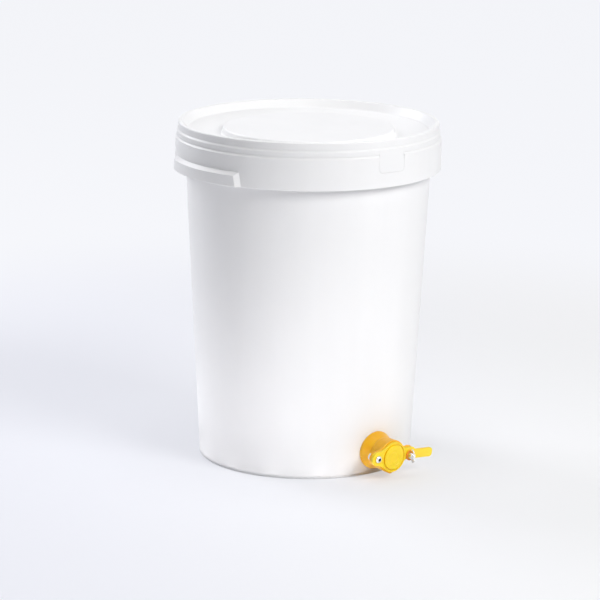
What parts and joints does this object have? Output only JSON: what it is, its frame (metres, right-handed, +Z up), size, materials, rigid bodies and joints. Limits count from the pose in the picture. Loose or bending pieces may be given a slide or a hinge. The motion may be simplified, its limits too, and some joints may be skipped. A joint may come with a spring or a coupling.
{
  "type": "honey settling tank",
  "caption": "Tapered plastic pail with a press-on lid and a swinging honey gate low on its side, for settling and bottling honey.",
  "frame": {"origin": "centre of the foot ring, on the plane that the pail stands on", "axes": "+Z up along the pail's axis, the gate points along -Y, +X to the right of someone facing the gate"},
  "size_m": [0.3672, 0.3724, 0.4604],
  "materials": {
    "white_plastic": "satin",
    "yellow_plastic": "gloss",
    "orange_plastic": "gloss",
    "pale_rubber": "matt",
    "steel": "bright"
  },
  "bodies": {
    "tank": {"pail": "white_plastic", "tap_outer_gasket": "pale_rubber", "tap_inner_gasket": "pale_rubber", "tap_lock_nut": "yellow_plastic", "tap_body": "yellow_plastic", "gate_seal": "pale_rubber", "pivot_screw": "steel", "pivot_washer": "steel", "pivot_nut": "steel", "clamp_bolt": "steel"},
    "lid": {"lid": "white_plastic", "lid_seal": "pale_rubber"},
    "gate": {"gate_blade": "yellow_plastic"},
    "washer": {"clamp_washer": "orange_plastic"},
    "wing_nut": {"wing_nut": "steel"}
  },
  "joints": [
    {"name": "lid_lift", "type": "slide", "parent": "tank", "child": "lid", "axis": [0, 0, 1], "range_m": [0, 0.12]},
    {"name": "gate_swing", "type": "hinge", "parent": "tank", "child": "gate", "pos_m": [-0.02823, -0.18009, 0.03318], "axis": [0, -0.9986, -0.0523], "range_deg": [0, 100]},
    {"name": "clamp_washer_slide", "type": "slide", "parent": "tank", "child": "washer", "axis": [0, -0.9986, -0.0523], "range_m": [0, 0.0023]},
    {"name": "wing_nut_turn", "type": "hinge", "parent": "washer", "child": "wing_nut", "pos_m": [0.02823, -0.18507, 0.02897], "axis": [0, -0.9986, -0.0523], "range_deg": [0, 810]}
  ],
  "couplings": [
    {"joint": "clamp_washer_slide", "follows": "wing_nut_turn", "m_per_rad": 0.00015915}
  ]
}
